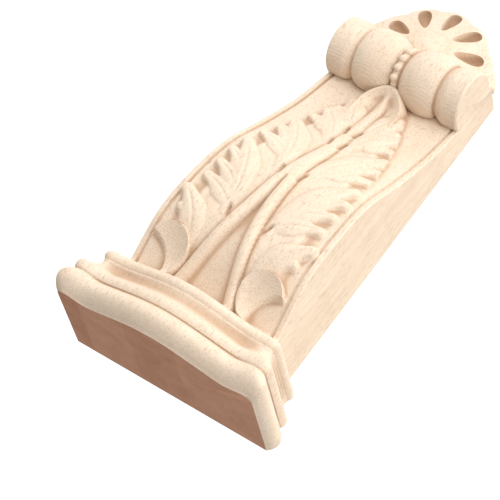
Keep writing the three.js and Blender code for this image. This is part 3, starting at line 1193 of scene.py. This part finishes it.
def grain_group() -> bpy.types.NodeTree:
    """Straight grain along the height: fine streaks and broad soft bands.

    Returns:
        A group from Vector to Streaks and Bands, each from 0 to 1.
    """
    results = {"Streaks": FLOAT, "Bands": FLOAT}
    tree, nodes, given, out = shader_group("wood grain", {"Vector": VECTOR}, results)
    vector = given.outputs["Vector"]
    fine = nodes.noise(nodes.scaled(vector, FINE_GRAIN), *FINE_NOISE)
    broad = nodes.noise(nodes.scaled(vector, BROAD_GRAIN), *BROAD_NOISE)
    nodes.tree.links.new(nodes.mapped(fine, *FINE_RANGE, 0.0, 1.0), out.inputs["Streaks"])
    nodes.tree.links.new(nodes.mapped(broad, *BROAD_RANGE, 0.0, 1.0), out.inputs["Bands"])
    return tree


def pore_group() -> bpy.types.NodeTree:
    """Open pores: thin tubes along the height, seen as dots across the grain and ticks along it.

    Returns:
        A group from Vector to Pores, 1 inside a pore.
    """
    tree, nodes, given, out = shader_group("wood pores", {"Vector": VECTOR}, {"Pores": FLOAT})
    vector = given.outputs["Vector"]
    found = []
    for pore in PORES:
        cells = nodes.scaled(vector, (pore.across, pore.across, pore.along))
        inputs = {"Vector": cells, "Scale": 1.0, "Randomness": 1.0}
        cell = nodes.add("ShaderNodeTexVoronoi", inputs, feature="F1")
        dot = nodes.mapped(cell.outputs["Distance"], pore.radius * pore.core, pore.radius, 1.0, 0.0)
        chosen = nodes.add("ShaderNodeSeparateColor", {"Color": cell.outputs["Color"]}).outputs[0]
        kept = nodes.math("GREATER_THAN", chosen, pore.missing)
        found.append(nodes.math("MULTIPLY", dot, kept))
    nodes.tree.links.new(nodes.math("MAXIMUM", *found), out.inputs["Pores"])
    return tree


def stave_group() -> bpy.types.NodeTree:
    """Glued staves side by side, each a little darker or lighter than the next.

    Returns:
        A group from Vector to Tone, from 0 to 1.
    """
    tree, nodes, given, out = shader_group("glued staves", {"Vector": VECTOR}, {"Tone": FLOAT})
    across = nodes.add("ShaderNodeSeparateXYZ", {0: given.outputs["Vector"]}).outputs[0]
    shifted = nodes.math("ADD", across, STAVE_OFFSET)
    number = nodes.math("FLOOR", nodes.math("MULTIPLY", shifted, STAVES_PER_METRE))
    tone = nodes.add("ShaderNodeTexWhiteNoise", {"W": number}, noise_dimensions="1D").outputs["Value"]
    nodes.tree.links.new(tone, out.inputs["Tone"])
    return tree


def tool_mark_group() -> bpy.types.NodeTree:
    """Fine steps that the cutter leaves on steep surfaces, one above the other.

    Returns:
        A group from Vector and Steepness to Height, from -1 to 1.
    """
    sockets = {"Vector": VECTOR, "Steepness": FLOAT}
    tree, nodes, given, out = shader_group("cutter marks", sockets, {"Height": FLOAT})
    vector = given.outputs["Vector"]
    height = nodes.add("ShaderNodeSeparateXYZ", {0: vector}).outputs[2]
    noise = nodes.noise(nodes.scaled(vector, STRAY_GRAIN), *STRAY_NOISE)
    stray = nodes.math("MULTIPLY", noise, MARK_STRAY)
    wave = nodes.math("SINE", nodes.math("ADD", nodes.math("MULTIPLY", height, MARK_TURN), stray))
    mask = nodes.mapped(given.outputs["Steepness"], *MARK_STEEPNESS, 0.0, 1.0)
    nodes.tree.links.new(nodes.math("MULTIPLY", wave, mask), out.inputs["Height"])
    return tree


@dataclass(frozen=True)
class WoodGroups:
    """The shared effects that all three wood finishes use."""

    grain: bpy.types.NodeTree
    pores: bpy.types.NodeTree
    staves: bpy.types.NodeTree
    marks: bpy.types.NodeTree


@dataclass(frozen=True)
class WoodFinish:
    """Bare pale wood as one tool leaves it, with painted shade in its hollows."""

    name: str
    light: tuple[float, float, float, float]
    dark: tuple[float, float, float, float]
    # colour of the painted shade in hollows and creases
    hollow: tuple[float, float, float, float]
    pore: tuple[float, float, float, float]
    streak_share: float
    band_share: float
    stave_share: float
    pore_share: float
    # how far the painted shade in hollows goes towards that colour
    hollow_shade_share: float
    mark_height: float
    grain_height: float
    roughness: float

    def build(self, groups: WoodGroups) -> bpy.types.Material:
        """Make the material.

        Args:
            groups: The shared effects.

        Returns:
            The material, on Object coordinates and the carving's own attributes.
        """
        material = bpy.data.materials.new(self.name)
        material.use_nodes = True
        nodes = Nodes(material.node_tree)
        place = nodes.add("ShaderNodeTexCoord").outputs["Object"]
        hollow_shade = nodes.add("ShaderNodeAttribute", attribute_name="hollow_shade").outputs["Fac"]
        steep = nodes.add("ShaderNodeAttribute", attribute_name="steepness").outputs["Fac"]
        grain = nodes.group(groups.grain, {"Vector": place})
        pores = nodes.group(groups.pores, {"Vector": place}).outputs["Pores"]
        staves = nodes.group(groups.staves, {"Vector": place}).outputs["Tone"]
        marks = nodes.group(groups.marks, {"Vector": place, "Steepness": steep}).outputs["Height"]
        tone = nodes.math("MULTIPLY", grain.outputs["Streaks"], self.streak_share)
        tone = nodes.math("MULTIPLY_ADD", grain.outputs["Bands"], self.band_share, tone)
        tone = nodes.math("MULTIPLY_ADD", staves, self.stave_share, tone)
        colour = nodes.mixed(tone, self.light, self.dark)
        # painted shade: darker brown where the surface is sunk, in hollows and creases
        colour = nodes.mixed(nodes.math("MULTIPLY", hollow_shade, self.hollow_shade_share), colour, self.hollow)
        colour = nodes.mixed(nodes.math("MULTIPLY", pores, self.pore_share), colour, self.pore)
        relief = nodes.math("MULTIPLY", marks, self.mark_height)
        relief = nodes.math("MULTIPLY_ADD", grain.outputs["Streaks"], self.grain_height, relief)
        relief = nodes.math("MULTIPLY_ADD", pores, PORE_FLOOR * self.grain_height, relief)
        bump = nodes.add("ShaderNodeBump", {"Strength": 1.0, "Distance": MM, "Height": relief})
        inputs = {"Base Color": colour, "Roughness": self.roughness, "Normal": bump.outputs["Normal"]}
        surface = nodes.add("ShaderNodeBsdfPrincipled", inputs)
        surface.inputs["Specular IOR Level"].default_value = WOOD_SHEEN
        nodes.add("ShaderNodeOutputMaterial", {"Surface": surface.outputs["BSDF"]})
        return material


# Colour of the painted shade in hollows and creases, then the open pores' own colour
PAINTED_HOLLOW_SHADE = (0.42, 0.225, 0.11, 1.0)
PORE_BROWN = (0.42, 0.27, 0.165, 1.0)

CARVED_WOOD = WoodFinish(
    name="carved_wood",
    light=(0.81, 0.675, 0.54, 1.0),
    dark=(0.71, 0.55, 0.40, 1.0),
    hollow=PAINTED_HOLLOW_SHADE,
    pore=PORE_BROWN,
    streak_share=0.42,
    band_share=0.38,
    stave_share=0.2,
    pore_share=0.62,
    hollow_shade_share=0.62,
    mark_height=0.024,
    grain_height=0.012,
    roughness=0.62,
)

PLANED_WOOD = WoodFinish(
    name="planed_wood",
    light=(0.83, 0.695, 0.53, 1.0),
    dark=(0.71, 0.54, 0.385, 1.0),
    hollow=PAINTED_HOLLOW_SHADE,
    pore=PORE_BROWN,
    streak_share=0.75,
    band_share=0.42,
    stave_share=0.3,
    pore_share=0.5,
    hollow_shade_share=0.3,
    mark_height=0.0,
    grain_height=0.016,
    roughness=0.58,
)

# The top face: browner and redder than the sides, partly as end grain is darker and partly as painted shade
# with a warm bounce of light
END_GRAIN_AND_SHADE = WoodFinish(
    name="end_grain_with_painted_shade",
    light=(0.75, 0.405, 0.255, 1.0),
    dark=(0.53, 0.235, 0.13, 1.0),
    hollow=PAINTED_HOLLOW_SHADE,
    pore=(0.30, 0.165, 0.1, 1.0),
    streak_share=0.25,
    band_share=0.45,
    stave_share=0.4,
    pore_share=0.35,
    hollow_shade_share=0.3,
    mark_height=0.0,
    grain_height=0.01,
    roughness=0.68,
)


@dataclass(frozen=True)
class Carving:
    """The whole corbel, joined into one solid and finished."""

    block: Block = Block()
    sharp_angle: float = math.radians(38)
    flat_normal: float = 0.97
    side_gap: float = 0.1
    face_gap: float = 0.01
    shortest_edge: float = 0.05
    smooth_passes: tuple[int, ...] = (30, 90)
    # how sunk a point is, in millimetres, where its painted shade starts and where it is full
    hollow_shade_start: float = 0.12
    hollow_shade_full: float = 1.3
    smooth_cap_marks: float = 0.25

    def build(self) -> bpy.types.Object:
        """Join the body, cap, roll, fan and tie, carve the hollows, and finish the surface.

        Returns:
            The finished piece, riding on the part's body.
        """
        groups = WoodGroups(grain_group(), pore_group(), stave_group(), tool_mark_group())
        finishes = [finish.build(groups) for finish in (CARVED_WOOD, PLANED_WOOD, END_GRAIN_AND_SHADE)]
        carved = finishes[Face.CARVED.value]
        roll, fan = Roll(self.block), Fan(self.block)
        corbel = Panel(self.block).build()
        shell = fan.build()
        centre = Vector((0, 0, fan.centre_z)) * MM
        first, between = Vector((0, -2 * fan.lobe_angle, 0)), Vector((0, fan.lobe_angle, 0))
        spreader = Spreader("hollows round the shell", carved)
        hollows = spreader.spread(fan.hollow(), fan.lobes, first, between, centre)
        cut(shell, hollows, Cut.CARVE)
        for solid in (Cap(self.block).build(), roll.build(), shell, Tie(roll).build(carved)):
            label = solid.name
            cut(corbel, solid, Cut.JOIN)
            log.info("joined %s: %d faces", label, len(corbel.data.polygons))
        corbel.name = corbel.data.name = "carved_corbel"
        self.paint(corbel, finishes)
        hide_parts(NODE)
        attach(corbel, BODY)
        return corbel

    def paint(self, corbel: bpy.types.Object, finishes: list[bpy.types.Material]) -> None:
        """Give the finishes to the faces, and measure hollows, for the painted shade in them, and steep
        places for the materials.

        Args:
            corbel: The joined solid.
            finishes: The materials in the order of Face.
        """
        mesh = corbel.data
        mesh.materials.clear()
        for finish in finishes:
            mesh.materials.append(finish)
        normals, centres = read(mesh.polygons, "normal", 3), read(mesh.polygons, "center", 3) / MM
        flat_side = np.abs(normals[:, 0]) > self.flat_normal
        half = self.block.half_at(self.block.cap_z - centres[:, 2])
        on_body = np.abs(centres[:, 0]) > half - self.side_gap
        back = centres[:, 1] > -self.face_gap
        top = centres[:, 2] > self.block.top - self.face_gap
        slots = np.full(len(mesh.polygons), Face.CARVED.value, np.int32)
        slots[(flat_side & on_body) | back] = Face.PLANED.value
        # the top face takes the end grain finish, which is partly painted shade
        slots[top] = Face.END_GRAIN.value
        mesh.polygons.foreach_set("material_index", slots)
        mesh.shade_smooth()
        self.mark_sharp(mesh)
        self.measure(mesh)

    def mark_sharp(self, mesh: bpy.types.Mesh) -> None:
        """Mark the arrises sharp, so that smooth shading stops at them."""
        normals = read(mesh.polygons, "normal", 3)
        edge_of_loop = read(mesh.loops, "edge_index", kind=np.int32)
        face_of_loop = np.repeat(
            np.arange(len(normals)), read(mesh.polygons, "loop_total", kind=np.int32)
        )
        order = np.argsort(edge_of_loop, kind="stable")
        edges, first, uses = np.unique(edge_of_loop[order], return_index=True, return_counts=True)
        pairs = uses == 2
        one = normals[face_of_loop[order[first[pairs]]]]
        two = normals[face_of_loop[order[first[pairs] + 1]]]
        sharp = np.zeros(len(mesh.edges), bool)
        sharp[edges[pairs]] = np.einsum("ij,ij->i", one, two) < math.cos(self.sharp_angle)
        attribute = mesh.attributes.get("sharp_edge") or mesh.attributes.new("sharp_edge", "BOOLEAN", "EDGE")
        attribute.data.foreach_set("value", sharp)

    def measure(self, mesh: bpy.types.Mesh) -> None:
        """Store how much painted shade each point gets from how sunk it is, and how steep the surface is
        there.

        Args:
            mesh: The carving's mesh.
        """
        points = read(mesh.vertices, "co", 3) / MM
        count = len(points)
        normals = np.array([normal.vector for normal in mesh.vertex_normals])
        ends = read(mesh.edges, "vertices", 2, np.int64)
        lengths = np.linalg.norm(points[ends[:, 0]] - points[ends[:, 1]], axis=1)
        weight = 1 / (lengths + self.shortest_edge)
        total = np.bincount(ends.ravel(), np.repeat(weight, 2), count)
        smoothed, sunk = points.copy(), np.zeros(count)
        for number in range(max(self.smooth_passes)):
            pulled = np.empty_like(smoothed)
            for axis in range(3):
                given = np.bincount(ends[:, 0], weight * smoothed[ends[:, 1], axis], count)
                given += np.bincount(ends[:, 1], weight * smoothed[ends[:, 0], axis], count)
                pulled[:, axis] = given / total
            smoothed = pulled
            if number + 1 in self.smooth_passes:
                sunk += np.einsum("ij,ij->i", smoothed - points, normals)
        # painted shade grows with how far each point is sunk below the smoothed surface
        hollow_shade = smooth_step(self.hollow_shade_start, self.hollow_shade_full, sunk)
        on_cap = points[:, 2] > self.block.cap_z
        steepness = np.abs(normals[:, 2]) * np.where(on_cap, self.smooth_cap_marks, 1.0)
        for name, values in (("hollow_shade", hollow_shade), ("steepness", steepness)):
            mesh.attributes.new(name, "FLOAT", "POINT").data.foreach_set("value", values)


@dataclass(frozen=True)
class Studio:
    """A pale floor, soft lights, and the camera where the photograph was taken."""

    camera_place: tuple[float, float, float] = (-0.2761, -0.5119, 0.2708)
    camera_right: tuple[float, float, float] = (-0.78927, 0.15823, -0.59331)
    camera_down: tuple[float, float, float] = (-0.41644, 0.57214, 0.70656)
    focal_pixels: float = 2000.0
    frame_pixels: float = 500.0
    sensor: float = 36.0
    near_clip: float = 0.02
    floor_gap: float = 0.30
    floor_size: float = 14.0
    floor_colour: tuple[float, float, float, float] = (0.92, 0.92, 0.92, 1.0)
    floor_roughness: float = 0.9
    floor_glow: float = 0.75
    aim: tuple[float, float, float] = (0.0, -0.02, 0.0)
    key_place: tuple[float, float, float] = (-0.10, -0.95, -0.12)
    key_size: float = 0.55
    key_power: float = 3.5
    fill_place: tuple[float, float, float] = (-0.95, -0.35, 0.05)
    fill_size: float = 0.7
    fill_power: float = 4.0
    world_strength: float = 0.48
    backdrop_strength: float = 1.0

    def camera(self) -> None:
        """Place the camera, turned as the photograph shows."""
        lens = bpy.data.cameras.new("camera")
        lens.sensor_width = self.sensor
        lens.lens = self.focal_pixels / self.frame_pixels * self.sensor
        lens.clip_start = self.near_clip
        placed = bpy.data.objects.new("camera", lens)
        right = Vector(self.camera_right).normalized()
        up = -Vector(self.camera_down).normalized()
        back = right.cross(up).normalized()
        up = back.cross(right).normalized()
        turned = Matrix((right, up, back)).transposed().to_4x4()
        turned.translation = self.camera_place
        placed.matrix_world = turned
        bpy.context.scene.collection.objects.link(placed)
        bpy.context.scene.camera = placed

    def light(self, name: str, place: tuple[float, float, float], size: float, power: float) -> None:
        """Add a soft square light that points at the corbel.

        Args:
            name: Name of the light.
            place: Where it stands.
            size: Length of its side.
            power: Its power in watts.
        """
        lamp = bpy.data.lights.new(name, "AREA")
        lamp.size = size
        lamp.energy = power
        placed = bpy.data.objects.new(name, lamp)
        placed.location = place
        way = Vector(self.aim) - Vector(place)
        placed.rotation_euler = way.to_track_quat("-Z", "Y").to_euler()
        placed.visible_camera = False
        bpy.context.scene.collection.objects.link(placed)

    def floor(self) -> None:
        """Lay the pale floor below the part, which is made to hang on a wall."""
        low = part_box(NODE)[0].z - self.floor_gap
        half = self.floor_size / 2
        corners = [(-half, -half, low), (half, -half, low), (half, half, low), (-half, half, low)]
        laid = make_object("floor", np.array(corners) / MM, [(0, 1, 2, 3)])
        material = bpy.data.materials.new("pale_floor")
        material.use_nodes = True
        surface = material.node_tree.nodes["Principled BSDF"]
        surface.inputs["Base Color"].default_value = self.floor_colour
        surface.inputs["Roughness"].default_value = self.floor_roughness
        surface.inputs["Emission Color"].default_value = WHITE
        surface.inputs["Emission Strength"].default_value = self.floor_glow
        laid.data.materials.append(material)

    def build(self) -> None:
        """Set up the floor, lights, camera and view."""
        self.floor()
        self.light("key", self.key_place, self.key_size, self.key_power)
        self.light("fill", self.fill_place, self.fill_size, self.fill_power)
        world = bpy.data.worlds.new("studio")
        world.use_nodes = True
        nodes = Nodes(world.node_tree)
        lit = nodes.add("ShaderNodeBackground", {"Color": WHITE, "Strength": self.world_strength})
        seen = nodes.add("ShaderNodeBackground", {"Color": WHITE, "Strength": self.backdrop_strength})
        direct = nodes.add("ShaderNodeLightPath").outputs["Is Camera Ray"]
        sky = nodes.add("ShaderNodeMixShader", {0: direct, 1: lit.outputs[0], 2: seen.outputs[0]})
        nodes.add("ShaderNodeOutputWorld", {"Surface": sky.outputs[0]})
        bpy.context.scene.world = world
        bpy.context.scene.view_settings.view_transform = "Standard"
        self.camera()


def main() -> None:
    """Build the corbel and its studio, and note how many faces the carving has."""
    logging.basicConfig(level=logging.INFO, format="%(message)s")
    corbel = Carving().build()
    log.info("corbel: %d faces", len(corbel.data.polygons))
    Studio().build()
    log.info("studio ready")
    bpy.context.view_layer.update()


if __name__ == "__main__":
    main()
